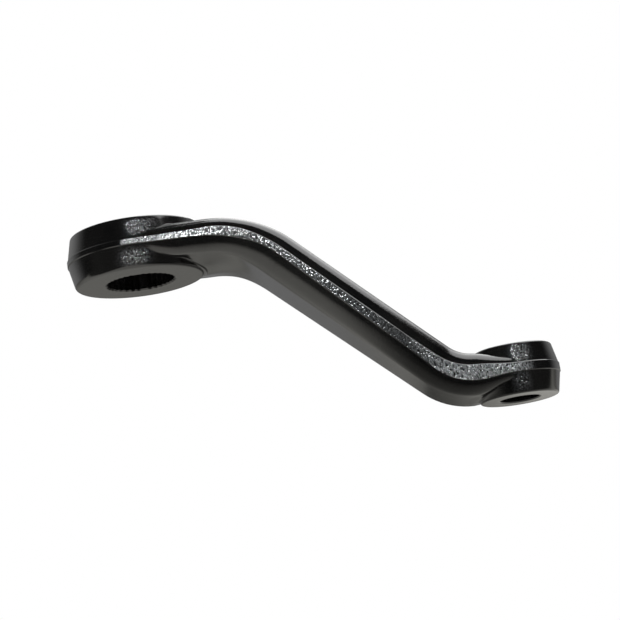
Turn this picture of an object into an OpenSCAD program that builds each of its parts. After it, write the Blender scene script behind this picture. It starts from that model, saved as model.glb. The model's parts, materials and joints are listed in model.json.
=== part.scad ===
/* [Splined end] */
// Height of the splined boss along the sector shaft
big_h = 23.2; // [21:0.2:30]
// Radius of the splined boss at its parting line
big_r = 31.8; // [27:0.2:36]
// Rounding of the splined boss's top edge
big_top_round = 1; // [0.6:0.2:3]
// Rounding of the splined boss's bottom edge
big_bottom_round = 1; // [0.4:0.2:2.4]
// Radius at the tips of the bore's teeth, on the bottom face
spline_tip_r = 15.1; // [12:0.1:18]
// Depth of the grooves between the teeth
spline_depth = 1; // [0.5:0.1:1.4]
// Growth of the bore's diameter for each millimetre of height
spline_taper = 0.0625; // [0.04:0.0025:0.09]
// Places for grooves round the bore
spline_places = 36; // [24:1:48]
// Blind places among them, which key the arm to its shaft
spline_blind = 4; // [1:1:6]
// Chamfer at both mouths of the splined bore
spline_chamfer = 0.6; // [0.2:0.1:1.2]

/* [Link end] */
// Height of the link boss along the stud
small_h = 22.7; // [21:0.1:28]
// Radius of the link boss at its parting line
small_r = 19.8; // [16:0.2:24]
// Rounding of the link boss's top edge
small_top_round = 1.2; // [0.6:0.1:3]
// Rounding of the link boss's bottom edge
small_bottom_round = 1; // [0.4:0.1:2]
// Radius of the stud taper at the bottom face
stud_r = 9; // [7:0.1:11]
// Loss of the stud taper's diameter for each millimetre of height
stud_taper = 0.125; // [0.08:0.005:0.17]
// Chamfer at both mouths of the stud bore
stud_chamfer = 0.5; // [0.2:0.1:1]

/* [Crank] */
// Distance between the two bores
reach = 159.8; // [145:0.2:200]
// Drop from the splined boss's bottom face to the link boss's
drop = 78.8; // [40:0.2:90]
// Distance from the splined bore to the upper corner of the parting line
upper_run = 51; // [46:0.2:60]
// Distance from the stud bore back to the lower corner of the parting line
lower_run = 28.2; // [25:0.2:36]
// Radius of the parting line in the upper bend
upper_bend = 47; // [38:0.5:56]
// Radius of the parting line in the lower bend
lower_bend = 25.5; // [20:0.5:30]

/* [Arm section] */
// Height of the arm's top over the parting line, beside the splined boss
rise_big = 6.8; // [5:0.1:8]
// Height of the arm's top over the parting line, below the upper bend
rise_bend = 8.2; // [6:0.1:10]
// Height of the arm's top over the parting line, at the lower bend
rise_small = 9.5; // [7:0.1:10]
// Depth of the arm's bottom under the parting line, beside the splined boss
fall_big = 8.1; // [6:0.1:9]
// Depth of the arm's bottom under the parting line, below the upper bend
fall_bend = 10.8; // [8:0.1:12]
// Depth of the arm's bottom under the parting line, at the lower bend
fall_small = 9.2; // [7:0.1:10]
// Rounding of the arm's top edges
top_round = 6; // [2:0.1:8]
// Rounding of the arm's bottom edges beside the splined boss
bottom_round_big = 4.5; // [1:0.1:6]
// Rounding of the arm's bottom edges along the slope
bottom_round_slope = 7.5; // [2:0.1:9]
// Length from each bore's axis over which the arm's top and bottom run out
run_out = 20; // [12:0.5:26]
// Share of the arm's height that is left on the axes of the bores
run_out_share = 0.55; // [0.5:0.05:1]

/* [Forging] */
// Draft of the walls on both sides of the parting line
draft = 12; // [5:0.5:15]
// Half height of the trimmed land round the splined end
land_big = 1.7; // [1:0.1:2.4]
// Half height of the trimmed land round the link end
land_small = 2.3; // [1:0.1:2.8]
// Extra half height of the land in the lower bend
land_swell = 1; // [0:0.1:1.4]
// How far the land stands proud of the walls
land_proud = 0.35; // [0.15:0.05:0.6]
// Fillet from the arm's top up to the splined boss
fillet_big_top = 2; // [1:0.2:8]
// Fillet from the arm's bottom down to the splined boss
fillet_big_bottom = 1.6; // [1:0.2:6]
// Fillet from the arm's top up to the link boss
fillet_small_top = 1.2; // [1:0.1:5]
// Fillet from the arm's bottom down to the link boss
fillet_small_bottom = 2.4; // [1:0.1:5]

/* [Hidden] */

// Facets round the bosses and bores
round_facets = 128;
// Segments in each rounded edge of a section
corner_steps = 5;
// Spans of each level face, from its middle to its edge
face_spans = 5;
// Spans of the loft over each fillet, each bend and the slope
fillet_spans = 8;
bend_spans = 10;
slope_spans = 7;
// Angle at which the arm's sides cross the outlines of the bosses
side_bite = 10;
// Share of a fillet's radius that runs on into the boss
fillet_bite = 0.1;
// Share of the step beside a boss that a fillet may climb
step_share = 0.8;
// How far the wrapped sections start inside a boss's wall
wrap_lead = 1.5;
// Share of a boss's radius past which its sections wrap no further
wrap_floor = 0.25;
// Share of a wall's height that its rounding may take
wall_share = 0.95;
// Share of the tooth pitch that a groove takes at the tips
groove_share = 0.75;
// How far a groove's cutter reaches inside the tips
groove_start = 0.25;
// How far the cutters of the bores run past the faces
overrun = 2;

big_part_z = big_h / 2;
small_part_z = small_h / 2 - drop;
part_fall = big_part_z - small_part_z;
slope = atan2(part_fall, reach - upper_run - lower_run);
upper_tangent = upper_bend * tan(slope / 2);
lower_tangent = lower_bend * tan(slope / 2);
upper_x = upper_run - upper_tangent;
lower_x = reach - lower_run + lower_tangent;
climb = 1 - sqrt(1 - pow(1 - fillet_bite, 2));

// Lengths along the parting line from the splined bore's axis to the end of
// its level start, the upper bend, the slope, the lower bend and the stud axis
upper_in = upper_x;
upper_out = upper_in + upper_bend * slope * PI / 180;
lower_in = upper_out + norm([reach - upper_run - lower_run, part_fall]) - upper_tangent - lower_tangent;
lower_out = lower_in + lower_bend * slope * PI / 180;
stud_at = lower_out + reach - lower_x;

// Radii that the arm's sides touch, and the angle of those sides in plan
big_touch = big_r * cos(side_bite);
small_touch = small_r * cos(side_bite);
side_angle = asin((big_touch - small_touch) / reach);
arm_start = big_touch * sin(side_angle);
arm_end = stud_at + small_touch * sin(side_angle);

function mix(a, b, t) = a + (b - a) * t;
function within(t) = max(0, min(1, t));
function ease(t) = let (c = within(t)) c * c * (3 - 2 * c);
function back(list) = [for (i = [len(list) - 1:-1:0]) list[i]];
function under(list) = [for (p = list) [p[0], -p[1]]];

// One flank of a forged section, from its level face to the edge of the land:
// a rounded corner, a drafted wall and the step out to the land
function flank(half_w, face_h, land, rounding) =
    let (
        wall_w = half_w - land_proud,
        wall_h = face_h - land - land_proud,
        rad = min(rounding, wall_share * wall_h / (1 - sin(draft))),
        centre_w = wall_w - wall_h * tan(draft) - rad * tan(45 - draft / 2),
        centre_h = face_h - rad
    )
    concat(
        [
            for (i = [0:corner_steps])
                let (t = mix(90, draft, i / corner_steps))
                [centre_w + rad * cos(t), centre_h + rad * sin(t)]
        ],
        [[wall_w, land + land_proud], [half_w, land]]
    );

// Radius of a boss's wall at a height over or under its parting line
function wall_r(boss_r, land, h) =
    boss_r - land_proud - max(0, h - land - land_proud) * tan(draft);

big_wall = wall_r(big_r, land_big, rise_big);
small_wall = wall_r(small_r, land_small, rise_small);

// Place on the parting line and its downward angle, at a length along it
function path(s) =
    s < upper_in ? [s, big_part_z, 0]
    : s < upper_out
        ? let (a = slope * (s - upper_in) / (upper_out - upper_in))
            [upper_x + upper_bend * sin(a), big_part_z - upper_bend * (1 - cos(a)), a]
    : s < lower_in
        ? let (run = upper_tangent + s - upper_out)
            [upper_run + run * cos(slope), big_part_z - run * sin(slope), slope]
    : s < lower_out
        ? let (a = slope * (lower_out - s) / (lower_out - lower_in))
            [lower_x - lower_bend * sin(a), small_part_z + lower_bend * (1 - cos(a)), a]
    : [lower_x + s - lower_out, small_part_z, 0];

// Half width of the arm at the parting line
function half_width(x) = (big_touch - x * sin(side_angle)) / cos(side_angle);

// Half height of the land along the arm, swollen in the lower bend
function land_half(s) =
    let (
        past_slope = (s - upper_out) / (lower_in - upper_out),
        past_swell = (s - lower_in) / (stud_at - small_r / 2 - lower_in)
    )
    mix(land_big, land_small, within(past_slope)) + land_swell * pow(sin(180 * within(past_swell)), 2);

// Value at a length along the arm, from its values beside the splined boss,
// below the upper bend and at the lower bend
function along(s, beside_boss, below_bend, at_lower) =
    mix(
        mix(beside_boss, below_bend, ease((s - upper_in) / (upper_out - upper_in))),
        at_lower,
        within((s - upper_out) / (lower_in - upper_out))
    );

// Share of the arm's height that is left where its sides run out on a boss
function waned(s) =
    1 - (1 - run_out_share) * (ease(1 - s / run_out) + ease(1 - (stud_at - s) / run_out));

// Half outline of the arm's section, from the middle of its top to its bottom
function half_outline(s) =
    let (
        rise = waned(s) * along(s, rise_big, rise_bend, rise_small),
        fall = waned(s) * along(s, fall_big, fall_bend, fall_small),
        land = land_half(s),
        half_w = half_width(path(s)[0]),
        above = flank(half_w, rise, land, top_round),
        below = flank(half_w, fall, land, along(s, bottom_round_big, bottom_round_slope, bottom_round_slope))
    )
    concat(
        [for (i = [0:face_spans - 1]) [above[0][0] * i / face_spans, rise]],
        above,
        back(under(below)),
        [for (i = [face_spans - 1:-1:0]) [below[0][0] * i / face_spans, -fall]]
    );

// Height of a fillet at a distance from the wall that it climbs
function fillet_lift(dist, fillet, step) =
    let (
        rad = min(fillet, step_share * step / climb),
        away = (1 - fillet_bite) * rad - max(0, dist)
    )
    away <= 0 ? 0 : rad - sqrt(rad * rad - away * away);

// Lift of a point of the arm into the fillet round one boss
function boss_lift(place, h, land, face_h, boss_x, boss_r, boss_h, fillet) =
    let (
        dist = norm([place[0] - boss_x, place[1]]) - wall_r(boss_r, land, face_h),
        wall_foot = land + land_proud,
        share = within((abs(h) - wall_foot) / (face_h - wall_foot))
    )
    share * fillet_lift(dist, fillet, boss_h / 2 - face_h);

function lift(place, h) =
    h > 0
        ? boss_lift(place, h, land_big, rise_big, 0, big_r, big_h, fillet_big_top)
            + boss_lift(place, h, land_small, rise_small, reach, small_r, small_h, fillet_small_top)
        : -boss_lift(place, h, land_big, fall_big, 0, big_r, big_h, fillet_big_bottom)
            - boss_lift(place, h, land_small, fall_small, reach, small_r, small_h, fillet_small_bottom);

// Stations of the loft: length along the parting line, then how far the
// section wraps round the splined boss and round the link boss
function stations() =
    let (
        big_foot = big_wall + fillet_big_top,
        small_foot = stud_at - small_wall - fillet_small_top
    )
    concat(
        [[arm_start, 0, 0]],
        [
            for (i = [0:fillet_spans])
                [mix(big_wall - wrap_lead, big_foot, i / fillet_spans), 1, 0]
        ],
        [
            for (i = [1:bend_spans])
                let (t = i / bend_spans)
                [mix(big_foot, upper_out, t), 1 - ease(t), 0]
        ],
        [
            for (i = [1:slope_spans])
                [mix(upper_out, lower_in, i / slope_spans), 0, 0]
        ],
        [
            for (i = [1:bend_spans])
                let (t = i / bend_spans)
                [mix(lower_in, small_foot, t), 0, ease(t)]
        ],
        [
            for (i = [1:fillet_spans])
                [mix(small_foot, stud_at - small_wall + wrap_lead, i / fillet_spans), 0, 1]
        ],
        [[arm_end, 0, 0]]
    );

// How far a point moves along the arm when its section wraps round a wall
function wrap_shift(y, wall) = wall - sqrt(max(wall * wall - y * y, pow(wrap_floor * wall, 2)));

// One point of the loft
function loft_point(st, j, side) =
    let (
        y = half_outline(st[0])[j][0],
        s = st[0] - st[1] * wrap_shift(y, big_wall) + st[2] * wrap_shift(y, small_wall),
        at = path(s),
        p = half_outline(s)[j],
        h = p[1] + lift([at[0] + p[1] * sin(at[2]), p[0]], p[1])
    )
    [at[0] + h * sin(at[2]), side * p[0], at[1] + h * cos(at[2])];

// Ring of points round one station, down its +Y side and up its -Y side
function ring(st) =
    let (last = len(half_outline(st[0])) - 1)
    concat(
        [for (j = [0:last]) loft_point(st, j, 1)],
        [for (j = [last - 1:-1:1]) loft_point(st, j, -1)]
    );

// Arm lofted along the parting line
module arm() {
    rings = [for (st = stations()) ring(st)];
    count = len(rings[0]);
    last = len(rings) - 1;
    points = concat(
        [for (r = rings) each r],
        [[rings[0][0][0], 0, big_part_z], [rings[last][0][0], 0, small_part_z]]
    );
    first_mid = len(points) - 2;
    last_mid = len(points) - 1;
    sides = [
        for (i = [0:last - 1], j = [0:count - 1])
            let (
                a = i * count + j,
                b = i * count + (j + 1) % count,
                c = a + count,
                d = b + count
            )
            each [[a, b, c], [b, d, c]]
    ];
    first_cap = [for (j = [0:count - 1]) [first_mid, (j + 1) % count, j]];
    last_cap = [
        for (j = [0:count - 1])
            [last_mid, last * count + j, last * count + (j + 1) % count]
    ];
    polyhedron(points, concat(sides, first_cap, last_cap));
}

// Boss turned about its bore, standing on its bottom face
module boss(boss_r, boss_h, land, top_rounding, bottom_rounding) {
    above = flank(boss_r, boss_h / 2, land, top_rounding);
    below = flank(boss_r, boss_h / 2, land, bottom_rounding);
    outline = concat([[0, boss_h / 2]], above, back(under(below)), [[0, -boss_h / 2]]);
    translate([0, 0, boss_h / 2])
        rotate_extrude($fn = round_facets)
            polygon(outline);
}

// Cutter for a tapered bore with a chamfer at each mouth
module tapered_bore(bottom_r, growth, bore_h, chamfer) {
    per_mm = growth / 2;
    top_r = bottom_r + bore_h * per_mm;
    mouth = chamfer + overrun;
    translate([0, 0, -overrun])
        cylinder(
            h = bore_h + 2 * overrun,
            r1 = bottom_r - overrun * per_mm,
            r2 = top_r + overrun * per_mm,
            $fn = round_facets
        );
    translate([0, 0, -overrun])
        cylinder(h = mouth, r1 = bottom_r + mouth, r2 = bottom_r, $fn = round_facets);
    translate([0, 0, bore_h - chamfer])
        cylinder(h = mouth, r1 = top_r, r2 = top_r + mouth, $fn = round_facets);
}

// Cutter for one groove between two teeth, laid along the bore's taper
module groove() {
    half_w = groove_share * PI * spline_tip_r / spline_places;
    start_w = half_w * (spline_depth + groove_start) / spline_depth;
    tilt = atan(spline_taper / 2);
    translate([spline_tip_r, 0, 0])
        rotate([0, tilt, 0])
            translate([0, 0, -overrun])
                linear_extrude(height = (big_h + 2 * overrun) / cos(tilt))
                    polygon([[-groove_start, -start_w], [spline_depth, 0], [-groove_start, start_w]]);
}

module splined_bore() {
    tapered_bore(spline_tip_r, spline_taper, big_h, spline_chamfer);
    for (i = [0:spline_places - 1])
        if (floor(i * spline_blind / spline_places) == floor((i - 1) * spline_blind / spline_places))
            rotate([0, 0, i * 360 / spline_places])
                groove();
}

// One-piece forged arm, painted black
module pitman_arm() {
    color("#191919")
        difference() {
            union() {
                boss(big_r, big_h, land_big, big_top_round, big_bottom_round);
                translate([reach, 0, -drop])
                    boss(small_r, small_h, land_small, small_top_round, small_bottom_round);
                arm();
            }
            splined_bore();
            translate([reach, 0, -drop])
                tapered_bore(stud_r, -stud_taper, small_h, stud_chamfer);
        }
}

pitman_arm();
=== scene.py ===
import json
import math

import bmesh
import bpy
import numpy as np
from mathutils import Matrix, Vector


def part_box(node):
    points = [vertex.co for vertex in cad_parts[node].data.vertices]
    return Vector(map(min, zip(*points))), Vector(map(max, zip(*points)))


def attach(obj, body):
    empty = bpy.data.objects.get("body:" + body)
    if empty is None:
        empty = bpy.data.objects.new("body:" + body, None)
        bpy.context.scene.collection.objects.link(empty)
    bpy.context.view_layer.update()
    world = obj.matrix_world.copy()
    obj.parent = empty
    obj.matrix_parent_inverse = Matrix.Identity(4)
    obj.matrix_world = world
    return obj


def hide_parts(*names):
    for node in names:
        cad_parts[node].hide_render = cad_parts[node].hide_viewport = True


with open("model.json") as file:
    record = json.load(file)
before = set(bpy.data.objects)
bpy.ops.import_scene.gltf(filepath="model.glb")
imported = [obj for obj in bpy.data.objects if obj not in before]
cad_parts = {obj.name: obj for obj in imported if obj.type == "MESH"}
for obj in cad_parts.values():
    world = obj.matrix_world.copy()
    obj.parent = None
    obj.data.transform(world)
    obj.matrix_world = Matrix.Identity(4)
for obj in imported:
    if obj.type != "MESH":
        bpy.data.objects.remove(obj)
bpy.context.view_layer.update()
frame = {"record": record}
mm = 0.001
print("frame loaded")


# sizes in millimetres: the frame gives the bosses, the rest is the forging's own
low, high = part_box("pitman_arm")
mounts = {mount["name"]: mount["pos_m"] for mount in frame["record"]["mounts"]}
studX, _, studZ = (v / mm for v in mounts["drag_link_taper"])
studTop = mounts["stud_nut_face"][2] / mm

splinedBoss = {
    "x": 0.0, "bottom": 0.0, "height": high.z / mm, "radius": high.y / mm,
    "land": 1.1,                             # half height of the trimmed land
    "topRound": 1.0, "bottomRound": 1.8,
    "filletTop": (1.0, 0, 1.0),              # radius, then rise and length of the ramp that leads to it
    "filletBottom": (0.7, 2.5, 21.0),
}
linkBoss = {
    "x": studX, "bottom": studZ, "height": studTop - studZ, "radius": high.x / mm - studX,
    "land": 1.8,
    "topRound": 1.2, "bottomRound": 1.0,
    "filletTop": (1.0, 0, 1.0),
    "filletBottom": (0.8, 0.8, 6.0),
}
for boss in (splinedBoss, linkBoss):
    boss["parting"] = boss["bottom"] + boss["height"] / 2

forging = {
    "draft": math.radians(12.0),
    "proud": 0.35,                           # how far the trimmed land stands off the walls
    "wallShare": 0.95,                       # most of a wall that its rounded edge takes
    "sideBite": math.radians(4.0),           # angle at which the arm's sides cross the bosses
    "filletBite": 0.1,                       # share of its radius that a fillet sinks into a boss
    "stepShare": 0.8,                        # most of the step up to a boss that a fillet climbs
    "inLine": 0.68,                          # the ramps fade out at this cosine to the arm's length
    "offAxis": 1.0,                          # no direction is taken nearer than this to a bore axis
    "wrapLead": 1.5,                         # how far the wrapped sections go into a boss
    "wrapFloor": 0.25,                       # they follow its circle down to this share of the radius
    "sharp": math.radians(26.0),             # edges above this angle are shaded sharp
}

crank = {
    "upperRun": 51.0, "lowerRun": 28.2,      # bore axes to the corners of the parting line
    "upperBend": 47.0, "lowerBend": 25.5,
    "rise": (6.8, 8.2, 9.5),                 # by the splined boss, below the upper bend, at the lower bend
    "fall": (8.1, 10.8, 9.2),
    "topRound": (6.0, 6.0, 6.0),
    "bottomRound": (4.5, 7.5, 7.5),
    "landX": (0, 20, 45, 60, 110, 140, 160),
    "land": (1.1, 1.3, 2.0, 1.4, 1.9, 3.3, 1.8),   # half height of the land at these places along X
    "runOut": 20.0, "runOutShare": 0.55,     # top and bottom run out towards the bore axes
}

meshing = {
    "faceSpans": 14, "edgeSpans": 9, "wallSpans": 6, "landSpans": 2,
    "station": 1.1, "closer": 3,             # spacing of the arm's sections, and how much closer by a boss
    "turns": 288,
    "past": 2.0,                             # how far the cutters of the bores stand out
    "weld": 0.002,
}


def mix(a, b, t):
    return a + (b - a) * t


def ease(t):
    t = np.clip(t, 0, 1)
    return t * t * (3 - 2 * t)


# course of the parting line in the XZ plane
dropRun = splinedBoss["parting"] - linkBoss["parting"]
levelRun = studX - crank["upperRun"] - crank["lowerRun"]
slope = math.atan2(dropRun, levelRun)
upperTangent = crank["upperBend"] * math.tan(slope / 2)
lowerTangent = crank["lowerBend"] * math.tan(slope / 2)
upperX = crank["upperRun"] - upperTangent
lowerX = studX - crank["lowerRun"] + lowerTangent
upperOut = upperX + crank["upperBend"] * slope
lowerIn = upperOut + math.hypot(levelRun, dropRun) - upperTangent - lowerTangent
lowerOut = lowerIn + crank["lowerBend"] * slope
studAt = lowerOut + studX - lowerX

# sides of the arm in plan, crossing both bosses at a shallow angle
touchBig = splinedBoss["radius"] * math.cos(forging["sideBite"])
touchSmall = linkBoss["radius"] * math.cos(forging["sideBite"])
sideAngle = math.asin((touchBig - touchSmall) / studX)


def partingLine(s):  # x, z and downward angle at each length along the line
    upperTurn = np.clip((s - upperX) / crank["upperBend"], 0, slope)
    lowerTurn = np.clip((lowerOut - s) / crank["lowerBend"], 0, slope)
    run = upperTangent + s - upperOut
    zones = [s < upperX, s < upperOut, s < lowerIn, s < lowerOut]
    x = np.select(zones, [
        s,
        upperX + crank["upperBend"] * np.sin(upperTurn),
        crank["upperRun"] + run * math.cos(slope),
        lowerX - crank["lowerBend"] * np.sin(lowerTurn),
    ], lowerX + s - lowerOut)
    z = np.select(zones, [
        splinedBoss["parting"],
        splinedBoss["parting"] - crank["upperBend"] * (1 - np.cos(upperTurn)),
        splinedBoss["parting"] - run * math.sin(slope),
        linkBoss["parting"] + crank["lowerBend"] * (1 - np.cos(lowerTurn)),
    ], linkBoss["parting"])
    return x, z, np.where(s < lowerIn, upperTurn, lowerTurn)


def along(s, sizes):  # a size that changes from the splined boss through the upper bend to the lower bend
    besideBoss, belowBend, atLower = sizes
    upper = mix(besideBoss, belowBend, ease((s - upperX) / (upperOut - upperX)))
    return mix(upper, atLower, np.clip((s - upperOut) / (lowerIn - upperOut), 0, 1))


def waned(s):  # share of the height left where the sides run out on a boss
    ends = ease(1 - s / crank["runOut"]) + ease(1 - (studAt - s) / crank["runOut"])
    return 1 - (1 - crank["runOutShare"]) * ends


def landAlong(s):  # half height of the trimmed land
    x = partingLine(s)[0]
    land = np.full(np.shape(s), crank["land"][0])
    for i, begin in enumerate(crank["landX"][:-1]):
        share = ease((x - begin) / (crank["landX"][i + 1] - begin))
        land = land + share * (crank["land"][i + 1] - crank["land"][i])
    return land


# spots down one flank of a forged section: level face, rounded edge, drafted wall, trimmed land
spots = [("face", t) for t in np.linspace(0, 1, meshing["faceSpans"] + 1)[:-1]]
spots += [("edge", t) for t in np.linspace(0, 1, meshing["edgeSpans"] + 1)]
spots += [("wall", t) for t in np.linspace(0, 1, meshing["wallSpans"] + 1)[1:]]
spots += [("land", t) for t in np.linspace(0, 1, meshing["landSpans"] + 1)]


def flankPoint(spot, halfWidth, faceHeight, land, rounding):  # width and height of a spot
    kind, t = spot
    draft, proud = forging["draft"], forging["proud"]
    wallWidth = halfWidth - proud
    wallHeight = faceHeight - land - proud
    radius = np.minimum(rounding, forging["wallShare"] * wallHeight / (1 - math.sin(draft)))
    centreWidth = wallWidth - wallHeight * math.tan(draft) - radius * math.tan(math.pi / 4 - draft / 2)
    centreHeight = faceHeight - radius
    if kind == "face":
        return centreWidth * t, faceHeight + 0 * centreWidth
    if kind == "land":
        return halfWidth, land * (1 - t)
    turn = mix(math.pi / 2, draft, t if kind == "edge" else 1)
    edge = centreWidth + radius * math.cos(turn), centreHeight + radius * math.sin(turn)
    if kind == "edge":
        return edge
    return mix(edge[0], wallWidth, t), mix(edge[1], land + proud, t)


def wallRadius(boss, height):
    foot = boss["land"] + forging["proud"]
    return boss["radius"] - forging["proud"] - (height - foot) * math.tan(forging["draft"])


# how far a fillet and the ramp to it lift the arm's face beside a boss
def filletLift(boss, x, y, faceHeight, fillet):
    radius, rise, length = fillet
    bite = 1 - forging["filletBite"]
    climb = 1 - math.sqrt(1 - bite ** 2)
    radius = min(radius, forging["stepShare"] * (boss["height"] / 2 - faceHeight) / climb)
    off = np.maximum(np.hypot(x - boss["x"], y), forging["offAxis"])
    gap = np.maximum(off - wallRadius(boss, faceHeight), 0)
    reach = np.maximum(bite * radius - gap, 0)
    inLine = ease((np.abs(x - boss["x"]) / off - forging["inLine"]) / (1 - forging["inLine"]))
    return radius - np.sqrt(radius ** 2 - reach ** 2) + rise * inLine * ease(1 - gap / length)


# one spot of the arm's section at every station, wrapped round the bosses
def armPoint(spot, above, s, wrapBig, wrapSmall):
    heights = crank["rise"] if above else crank["fall"]
    rounds = crank["topRound"] if above else crank["bottomRound"]
    fillet = "filletTop" if above else "filletBottom"
    up = 1 if above else -1

    def section(s):
        halfWidth = (touchBig - partingLine(s)[0] * math.sin(sideAngle)) / math.cos(sideAngle)
        return flankPoint(spot, halfWidth, waned(s) * along(s, heights), landAlong(s), along(s, rounds))

    across = section(s)[0]
    for boss, end, wrap, inward in ((splinedBoss, 0, wrapBig, -1), (linkBoss, -1, wrapSmall, 1)):
        wall = wallRadius(boss, crank["rise"][end])
        chord = np.sqrt(np.maximum(wall ** 2 - across ** 2, (forging["wrapFloor"] * wall) ** 2))
        s = s + inward * wrap * (wall - chord)
    across, height = section(s)
    x, z, lean = partingLine(s)
    for boss, end in ((splinedBoss, 0), (linkBoss, -1)):
        foot = boss["land"] + forging["proud"]
        share = np.clip((height - foot) / (heights[end] - foot), 0, 1)
        lift = filletLift(boss, x + up * height * np.sin(lean), across, heights[end], boss[fillet])
        height = height + share * lift
    return np.stack([x + up * height * np.sin(lean), across, z + up * height * np.cos(lean)], -1)


def armStations():  # length along the parting line, and how far the section there wraps round each boss
    wallBig = wallRadius(splinedBoss, crank["rise"][0])
    wallSmall = studAt - wallRadius(linkBoss, crank["rise"][-1])
    footBig = wallBig + splinedBoss["filletTop"][0]
    footSmall = wallSmall - linkBoss["filletTop"][0]
    lead, closer = forging["wrapLead"], meshing["closer"]
    stretches = [  # begin and end, wrap round the splined boss and the link boss there, closeness
        (wallBig - lead, footBig, (1, 1), (0, 0), closer),
        (footBig, upperOut, (1, 0), (0, 0), 1),
        (upperOut, lowerIn, (0, 0), (0, 0), 1),
        (lowerIn, footSmall, (0, 0), (0, 1), 1),
        (footSmall, wallSmall + lead, (0, 0), (1, 1), closer),
    ]
    rows = [[(touchBig * math.sin(sideAngle), 0, 0)]]       # both end sections lie inside the bosses
    for begin, end, wrapBig, wrapSmall, closeness in stretches:
        t = np.linspace(0, 1, round((end - begin) * closeness / meshing["station"]) + 1)[:-1]
        rows.append(np.stack([mix(begin, end, t), mix(*wrapBig, ease(t)), mix(*wrapSmall, ease(t))], 1))
    rows.append([(wallSmall + lead, 0, 1), (studAt + touchSmall * math.sin(sideAngle), 0, 0)])
    return np.concatenate(rows).T


def addMesh(name, points, faces):
    data = bpy.data.meshes.new(name)
    data.from_pydata((np.asarray(points) * mm).tolist(), [], faces)
    data.validate()
    piece = bpy.data.objects.new(name, data)
    bpy.context.scene.collection.objects.link(piece)
    return piece


def tube(rings):  # closed skin over rings of equal count, flat at both ends
    rows, count = rings.shape[:2]
    faces = []
    for i in range(rows - 1):
        here, there = i * count, (i + 1) * count
        for j in range(count):
            after = (j + 1) % count
            faces.append((here + j, there + j, there + after, here + after))
    faces.append(tuple(range(count)))
    faces.append(tuple(reversed(range((rows - 1) * count, rows * count))))
    return rings.reshape(-1, 3), faces


def makeArm():
    stations = armStations()
    half = [armPoint(spot, True, *stations) for spot in spots]
    half += [armPoint(spot, False, *stations) for spot in reversed(spots[:-1])]
    half = np.stack(half, 1)
    mirrored = half[:, -2:0:-1] * (1, -1, 1)
    return addMesh("arm", *tube(np.concatenate([half, mirrored], 1)))


turnAngles = np.linspace(0, 2 * math.pi, meshing["turns"], endpoint=False)


def turned(radii, heights, x):  # rings of a turned body, each radius a number or one value for each angle
    return np.stack([
        np.stack([x + r * np.cos(turnAngles), r * np.sin(turnAngles), z + 0 * turnAngles], -1)
        for r, z in zip(radii, heights)
    ])


def makeBoss(name, boss):
    half, parting = boss["height"] / 2, boss["parting"]
    rim = meshing["faceSpans"] - 1           # a level face needs its last ring alone

    def flank(spot, rounding):
        return flankPoint(spot, boss["radius"], half, boss["land"], boss[rounding])

    above = [flank(spot, "topRound") for spot in spots[rim:]]
    below = [flank(spot, "bottomRound") for spot in reversed(spots[rim:-1])]
    radii = [radius for radius, _ in above + below]
    heights = [parting + height for _, height in above] + [parting - height for _, height in below]
    return addMesh(name, *tube(turned(radii, heights, boss["x"])))


splinedBore = {
    "radius": 15.1, "taper": 1 / 16, "chamfer": 0.6,        # radius at the bottom, taper on the diameter
    "depth": 1.0, "places": 36, "blind": 4, "grooveShare": 0.75,
}
studBore = {"radius": 9.0, "taper": -1 / 8, "chamfer": 0.5}


def toothGrooves(bore):  # depth of the grooves at each angle round the bore
    pitch = 2 * math.pi / bore["places"]
    halfGroove = bore["grooveShare"] * pitch / 2
    place = np.round(turnAngles / pitch)
    depth = bore["depth"] * np.clip(1 - np.abs(turnAngles - place * pitch) / halfGroove, 0, 1)
    return np.where(place % (bore["places"] / bore["blind"]) == 0, 0, depth)


def makeBore(name, boss, bore, grooves):  # cutter with a chamfer at both mouths
    past, chamfer = meshing["past"], bore["chamfer"]
    top = boss["height"]
    heights = [top + past, top - chamfer, chamfer, -past]
    mouths = [chamfer + past, 0, 0, chamfer + past]
    radii = []
    for height, mouth in zip(heights, mouths):
        plain = bore["radius"] + min(max(height, 0), top) * bore["taper"] / 2
        radii.append(np.maximum(plain + mouth, plain + grooves))
    return addMesh(name, *tube(turned(radii, [boss["bottom"] + height for height in heights], boss["x"])))


def combine(base, other, operation):
    cut = base.modifiers.new("combine", "BOOLEAN")
    cut.operation, cut.object, cut.solver = operation, other, "EXACT"
    result = bpy.data.meshes.new_from_object(base.evaluated_get(bpy.context.evaluated_depsgraph_get()))
    base.modifiers.clear()
    base.data = result
    bpy.data.objects.remove(other)


def weld(data):  # joins points the cuts left side by side
    work = bmesh.new()
    work.from_mesh(data)
    bmesh.ops.remove_doubles(work, verts=work.verts, dist=meshing["weld"] * mm)
    bmesh.ops.dissolve_degenerate(work, dist=meshing["weld"] * mm, edges=work.edges)
    print("open edges:", sum(not edge.is_manifold for edge in work.edges))
    work.to_mesh(data)
    work.free()


pitmanArm = makeBoss("pitmanArmForging", splinedBoss)
combine(pitmanArm, makeBoss("linkBoss", linkBoss), "UNION")
combine(pitmanArm, makeArm(), "UNION")
splineCutter = makeBore("splinedBore", splinedBoss, splinedBore, toothGrooves(splinedBore))
combine(pitmanArm, splineCutter, "DIFFERENCE")
combine(pitmanArm, makeBore("studBore", linkBoss, studBore, 0), "DIFFERENCE")
mesh = pitmanArm.data
weld(mesh)
mesh.shade_smooth()
mesh.set_sharp_from_angle(angle=forging["sharp"])
print("forging:", len(mesh.vertices), "points", len(mesh.polygons), "faces")
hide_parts("pitman_arm")
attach(pitmanArm, "root")


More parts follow.
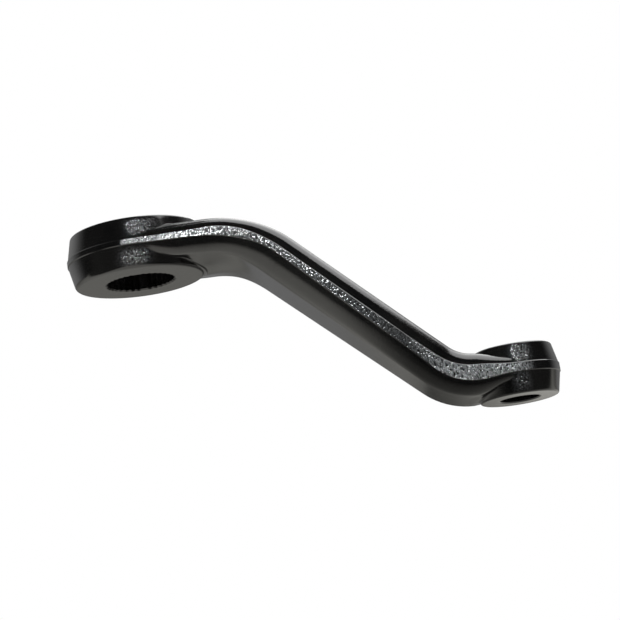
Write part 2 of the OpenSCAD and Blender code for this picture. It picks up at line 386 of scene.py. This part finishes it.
paint = {
    "dark": (0.0012, 0.0012, 0.0013, 1), "light": (0.004, 0.0038, 0.0036, 1), "toneAt": (0.35, 0.65),
    "roughness": (0.09, 0.16), "ior": 1.65,
    "patches": 60.0, "patchDetail": 4, "grainDetail": 2,
}
forgedSkin = {"grain": 1350.0, "upright": 1.0, "bare": 0.48, "crest": 0.74, "depth": 0.000012}
bossSkin = {
    "grain": 1200.0, "upright": 1.0, "bare": 0.30, "crest": 0.70, "depth": 0.00016,
    "paintedGlint": (0.04, 0.04, 0.041, 1),          # painted glint: lighter colour of the crests, standing in for the lamp's sparkle
}
trimmedSkin = {
    "grain": 1450.0, "upright": 0.6, "bare": 0.30, "crest": 0.70, "depth": 0.00011,
    # painted glint on the land's crests, standing in for sparkle
    "paintedGlint": (0.09, 0.092, 0.094, 1),
}


def times(tree, first, second):
    if first is None:
        return second
    product = tree.nodes.new("ShaderNodeMath")
    product.operation = "MULTIPLY"
    tree.links.new(first, product.inputs[0])
    tree.links.new(second, product.inputs[1])
    return product.outputs["Value"]


def blackPaint(name, texture):  # gloss paint over a pebbled skin, with painted glints on the crests of some skins
    material = bpy.data.materials.new(name)
    material.use_nodes = True
    tree = material.node_tree
    nodes, links = tree.nodes, tree.links
    shader = nodes["Principled BSDF"]
    shader.inputs["IOR"].default_value = paint["ior"]
    coords = nodes.new("ShaderNodeTexCoord")

    patches = nodes.new("ShaderNodeTexNoise")  # thicker and thinner paint
    patches.inputs["Scale"].default_value = paint["patches"]
    patches.inputs["Detail"].default_value = paint["patchDetail"]
    links.new(coords.outputs["Object"], patches.inputs["Vector"])
    tone = nodes.new("ShaderNodeValToRGB")
    for stop, at, shade in zip(tone.color_ramp.elements, paint["toneAt"], ("dark", "light")):
        stop.position, stop.color = at, paint[shade]
    links.new(patches.outputs["Fac"], tone.inputs["Fac"])
    sheen = nodes.new("ShaderNodeMapRange")
    sheen.inputs["To Min"].default_value, sheen.inputs["To Max"].default_value = paint["roughness"]
    links.new(patches.outputs["Fac"], sheen.inputs["Value"])
    links.new(sheen.outputs["Result"], shader.inputs["Roughness"])

    stretch = nodes.new("ShaderNodeMapping")
    stretch.inputs["Scale"].default_value = (1, 1, texture["upright"])
    links.new(coords.outputs["Object"], stretch.inputs["Vector"])
    grain = nodes.new("ShaderNodeTexNoise")
    grain.inputs["Scale"].default_value = texture["grain"]
    grain.inputs["Detail"].default_value = paint["grainDetail"]
    links.new(stretch.outputs["Vector"], grain.inputs["Vector"])
    pebbles = nodes.new("ShaderNodeMapRange")  # level between the pebbles
    pebbles.interpolation_type = "SMOOTHSTEP"
    pebbles.inputs["From Min"].default_value = texture["bare"]
    pebbles.inputs["From Max"].default_value = texture["crest"]
    links.new(grain.outputs["Fac"], pebbles.inputs["Value"])
    share = nodes.new("ShaderNodeAttribute")
    share.attribute_name = "pebbleAndGlintShare"
    bump = nodes.new("ShaderNodeBump")
    bump.inputs["Distance"].default_value = texture["depth"]
    links.new(share.outputs["Fac"], bump.inputs["Strength"])
    links.new(pebbles.outputs["Result"], bump.inputs["Height"])
    links.new(bump.outputs["Normal"], shader.inputs["Normal"])

    colour = tone.outputs["Color"]
    if "paintedGlint" in texture:  # painted glints: the crests are lightened where the pebbles are, standing in for sparkle
        glintMix = nodes.new("ShaderNodeMix")
        glintMix.data_type = "RGBA"
        glintMix.inputs["B"].default_value = texture["paintedGlint"]
        links.new(times(tree, share.outputs["Fac"], pebbles.outputs["Result"]), glintMix.inputs["Factor"])
        links.new(colour, glintMix.inputs["A"])
        colour = glintMix.outputs["Result"]
    links.new(colour, shader.inputs["Base Color"])
    return material


armSkin, wallSkin, landSkin = range(3)       # in the order of the materials
sorting = {
    "boreShare": 0.6,                        # faces within this share of a boss's radius are plain
    "wallSlack": 0.7,                        # how far off a boss's wall its faces may lie
    "wallTilt": 0.3, "landTilt": 0.01,       # most that a wall and the land face up or down
}


def skinOf(face):  # arm and level faces, walls of both bosses, or trimmed land
    centre, normal = face.center / mm, face.normal
    for boss in (splinedBoss, linkBoss):
        radial = math.hypot(centre.x - boss["x"], centre.y)
        if radial < boss["radius"] * sorting["boreShare"]:
            return armSkin
        height = abs(centre.z - boss["parting"])
        wall = wallRadius(boss, max(height, boss["land"] + forging["proud"]))
        onWall = height < boss["height"] / 2 and abs(radial - wall) < sorting["wallSlack"]
        if onWall and abs(normal.z) < sorting["wallTilt"]:
            return landSkin if abs(normal.z) < sorting["landTilt"] else wallSkin
    return landSkin if abs(normal.y) > math.cos(forging["draft"] / 2) else armSkin


# where the pebbles, and the painted glints on their crests, fade in and out across a boss, above and below
# its land, by its radius
splinedPebbles = {
    "above": (-0.12, 0.10, 0.20, 0.46), "below": (-0.28, -0.04, 0.12, 0.38), "shareBelow": 1.0,
    "landGap": 4.5, "rimGap": 3.0,           # millimetres over which they come in from the land and the rim
    "landEnd": (-0.15, -0.07),               # where the land's own pebbles begin and are full
}
linkPebbles = {
    "above": (-0.18, 0.04, 0.18, 0.42), "below": (-0.26, -0.04, 0.10, 0.30), "shareBelow": 0.7,
    "landGap": 1.0, "rimGap": 2.5,
    "landEnd": (0.40, 0.20),
}
trimming = {                                 # how rough the trim left the land at places along X, which also sets how strong its painted glints are
    "x": (8, 22, 45, 60, 80, 112, 124),
    "roughness": (1.0, 0.38, 0.38, 0.47, 0.50, 0.38, 0.95),
}
fadeInOut = (0, 1, 1, 0)


def pebbleAndGlintShare(kind, point):  # walls of the bosses are pebbled in front alone, the land up to there; the painted glints on the crests follow the same share, where the lamp's sparkle falls
    x, z = point.x / mm, point.z / mm
    share = np.interp(x, trimming["x"], trimming["roughness"]) if kind == landSkin else 1
    for boss, pebbles in ((splinedBoss, splinedPebbles), (linkBoss, linkPebbles)):
        side = (x - boss["x"]) / boss["radius"]
        height = abs(z - boss["parting"])
        below = z < boss["parting"]
        if kind == wallSkin and abs(side) <= 1:
            share = pebbles["shareBelow"] if below else 1
            share *= ease(np.interp(side, pebbles["below" if below else "above"], fadeInOut))
            share *= ease((height - boss["land"]) / pebbles["landGap"])
            share *= ease((boss["height"] / 2 - height) / pebbles["rimGap"])
        if kind == landSkin:
            begin, full = pebbles["landEnd"]
            share *= ease((side - begin) / (full - begin))
    return float(share)


paintedSkins = {"paintOnArm": forgedSkin, "paintOnBosses": bossSkin, "paintOnLand": trimmedSkin}
for name, texture in paintedSkins.items():
    mesh.materials.append(blackPaint(name, texture))
shares = []
for face in mesh.polygons:
    face.material_index = skinOf(face)
    shares += [pebbleAndGlintShare(face.material_index, mesh.vertices[v].co) for v in face.vertices]
mesh.attributes.new("pebbleAndGlintShare", "FLOAT", "CORNER").data.foreach_set("value", shares)
print("paint mixed")


# camera below the part and rolled, as the photograph was taken
view = {
    "aim": (0.07366, 0, -0.02441), "distance": 0.8850,
    "rise": 11.93, "turn": 0.04, "roll": -8.74,     # degrees
    "lens": 114.39, "sensor": 36.0, "clip": 0.05,
}


def addCamera():
    data = bpy.data.cameras.new("camera")
    data.lens, data.sensor_width = view["lens"], view["sensor"]
    data.clip_start = view["clip"]
    camera = bpy.data.objects.new("camera", data)
    aim = Matrix.Translation(view["aim"])
    turn = Matrix.Rotation(math.radians(-view["turn"]), 4, "Z")
    tilt = Matrix.Rotation(math.radians(90 + view["rise"]), 4, "X")
    roll = Matrix.Rotation(math.radians(view["roll"]), 4, "Z")
    camera.matrix_world = aim @ turn @ tilt @ roll @ Matrix.Translation((0, 0, view["distance"]))
    bpy.context.scene.collection.objects.link(camera)
    bpy.context.scene.camera = camera


keyLamp = {"at": (-0.08, -2.80, 1.02), "size": 0.26, "power": 74.0, "tint": (0.94, 0.98, 1.0)}


def addKeyLamp():
    data = bpy.data.lights.new("keyLamp", "AREA")
    data.shape, data.size, data.energy = "DISK", keyLamp["size"], keyLamp["power"]
    data.color = keyLamp["tint"]
    lamp = bpy.data.objects.new("keyLamp", data)
    lamp.visible_camera = False
    lamp.location = keyLamp["at"]
    lamp.rotation_euler = (Vector(view["aim"]) - lamp.location).to_track_quat("-Z", "Y").to_euler()
    bpy.context.scene.collection.objects.link(lamp)


def addSheet(name, corners, z):
    data = bpy.data.meshes.new(name)
    data.from_pydata([(x, y, z) for x, y in corners], [], [tuple(range(len(corners)))])
    sheet = bpy.data.objects.new(name, data)
    bpy.context.scene.collection.objects.link(sheet)
    return sheet


def glowing(name, level, tint):
    material = bpy.data.materials.new(name)
    material.use_nodes = True
    nodes, links = material.node_tree.nodes, material.node_tree.links
    nodes.remove(nodes["Principled BSDF"])
    glow = nodes.new("ShaderNodeEmission")
    glow.inputs["Strength"].default_value = level
    glow.inputs["Color"].default_value = tint
    links.new(glow.outputs["Emission"], nodes["Material Output"].inputs["Surface"])
    return material


overheadPanel = {
    "corners": (
        (0, 0.22), (0.06, 0), (0.03, -0.10), (0.25, -0.20),
        (0.37, -0.35), (0.56, -0.35), (0.62, 0.45), (0.10, 0.80),
    ),
    "height": 0.50, "light": 3.0, "tint": (1, 1, 1, 1),
}


def addOverheadPanel():
    panel = addSheet("overheadPanel", overheadPanel["corners"], overheadPanel["height"])
    panel.data.materials.append(glowing("panelGlow", overheadPanel["light"], overheadPanel["tint"]))
    panel.visible_camera = False


table = {
    "corners": ((-1.40, -1.40), (1.40, -1.40), (1.40, 1.40), (-1.40, 1.40)), "drop": 0.016,
    "dark": (0.70, 0.70, 0.70, 1), "light": (0.76, 0.76, 0.75, 1), "mottle": 3.0, "roughness": 0.9,
}
tableTop = low.z - table["drop"]


def addTable():
    sheet = addSheet("table", table["corners"], tableTop)
    material = bpy.data.materials.new("paleTable")
    material.use_nodes = True
    nodes, links = material.node_tree.nodes, material.node_tree.links
    shader = nodes["Principled BSDF"]
    shader.inputs["Roughness"].default_value = table["roughness"]
    mottle = nodes.new("ShaderNodeTexNoise")
    mottle.inputs["Scale"].default_value = table["mottle"]
    tone = nodes.new("ShaderNodeValToRGB")
    for stop, shade in zip(tone.color_ramp.elements, ("dark", "light")):
        stop.color = table[shade]
    links.new(mottle.outputs["Fac"], tone.inputs["Fac"])
    links.new(tone.outputs["Color"], shader.inputs["Base Color"])
    geometry = nodes.new("ShaderNodeNewGeometry")
    clear = nodes.new("ShaderNodeBsdfTransparent")  # seen from below it is clear
    oneSided = nodes.new("ShaderNodeMixShader")
    links.new(geometry.outputs["Backfacing"], oneSided.inputs[0])
    links.new(shader.outputs["BSDF"], oneSided.inputs[1])
    links.new(clear.outputs["BSDF"], oneSided.inputs[2])
    links.new(oneSided.outputs["Shader"], nodes["Material Output"].inputs["Surface"])
    sheet.data.materials.append(material)


# painted reflection of the lit table, with painted shadows and falloff: how dark each shade is, then each
# edge with its axis and where the shade begins and is full
paintedTableReflection = {
    "lift": 0.002, "tint": (1, 0.985, 0.915, 1),
    "paintedShades": (
        (0.76, ((1, 0, 0), 0.01, 0.09), ((1, 0, 0), 0.20, 0.12)),
        (0.93, ((-2.6, 1, 0), -0.08, -0.42), ((-0.25, 1, 0), -0.045, -0.09)),
        (0.90, ((1, 0, 0), -0.05, -0.09), ((0, 1, 0), 0.03, -0.03)),
        (0.64, ((0, 1, 0), -0.03, 0.22)),
        (0.45, ((0, 1, 0), 0.30, 0.90)),
    ),
}


def addPaintedTableReflection():  # over the table, seen by the paint alone: a glowing card that paints the lit table's reflection, with its painted shadows
    card = addSheet("paintedTableReflection", table["corners"], tableTop + paintedTableReflection["lift"])
    card.visible_camera = card.visible_diffuse = card.visible_shadow = False
    material = glowing("paintedTableGlow", 1, paintedTableReflection["tint"])
    card.data.materials.append(material)
    tree = material.node_tree
    place = tree.nodes.new("ShaderNodeNewGeometry")
    level = None
    for dark, *edges in paintedTableReflection["paintedShades"]:
        shade = None
        for axis, begin, full in edges:
            reach = tree.nodes.new("ShaderNodeVectorMath")
            reach.operation = "DOT_PRODUCT"
            reach.inputs[1].default_value = axis
            tree.links.new(place.outputs["Position"], reach.inputs[0])
            fade = tree.nodes.new("ShaderNodeMapRange")
            fade.interpolation_type = "SMOOTHSTEP"
            fade.inputs["From Min"].default_value, fade.inputs["From Max"].default_value = begin, full
            tree.links.new(reach.outputs["Value"], fade.inputs["Value"])
            shade = times(tree, shade, fade.outputs["Result"])
        lit = tree.nodes.new("ShaderNodeMath")
        lit.operation = "MULTIPLY_ADD"
        lit.inputs[1].default_value, lit.inputs[2].default_value = -dark, 1
        tree.links.new(shade, lit.inputs[0])
        level = times(tree, level, lit.outputs["Value"])
    tree.links.new(level, tree.nodes["Emission"].inputs["Strength"])


# dark room in front, backdrop behind: place from front to back, and brightness
room = {"front": (0.52, 0.035), "sides": (0.80, 0.52), "behind": (1.0, 0.27), "ambient": 0.15}


def setWorld():
    world = bpy.data.worlds.new("studio")
    bpy.context.scene.world = world
    world.use_nodes = True
    nodes, links = world.node_tree.nodes, world.node_tree.links
    background = nodes["Background"]
    background.inputs["Color"].default_value = (1, 1, 1, 1)
    coords = nodes.new("ShaderNodeTexCoord")
    split = nodes.new("ShaderNodeSeparateXYZ")
    links.new(coords.outputs["Generated"], split.inputs["Vector"])
    depth = nodes.new("ShaderNodeMapRange")
    depth.inputs["From Min"].default_value = -1
    links.new(split.outputs["Y"], depth.inputs["Value"])
    walls = nodes.new("ShaderNodeValToRGB")
    walls.color_ramp.interpolation = "EASE"
    walls.color_ramp.elements.new(room["sides"][0])
    for stop, part in zip(walls.color_ramp.elements, ("front", "sides", "behind")):
        at, level = room[part]
        stop.position, stop.color = at, (level, level, level, 1)
    links.new(depth.outputs["Result"], walls.inputs["Fac"])
    path = nodes.new("ShaderNodeLightPath")
    mirrored = nodes.new("ShaderNodeMath")
    mirrored.operation = "MAXIMUM"
    links.new(path.outputs["Is Glossy Ray"], mirrored.inputs[0])
    links.new(path.outputs["Is Transmission Ray"], mirrored.inputs[1])
    reflected = nodes.new("ShaderNodeMix")
    reflected.inputs["A"].default_value = room["ambient"]
    links.new(mirrored.outputs["Value"], reflected.inputs["Factor"])
    links.new(walls.outputs["Color"], reflected.inputs["B"])
    strength = nodes.new("ShaderNodeMix")
    strength.inputs["B"].default_value = 1   # white to the camera
    links.new(path.outputs["Is Camera Ray"], strength.inputs["Factor"])
    links.new(reflected.outputs["Result"], strength.inputs["A"])
    links.new(strength.outputs["Result"], background.inputs["Strength"])


addCamera()
addKeyLamp()
addOverheadPanel()
addPaintedTableReflection()
addTable()
setWorld()
bpy.context.scene.view_settings.view_transform = "Standard"
print("studio set")
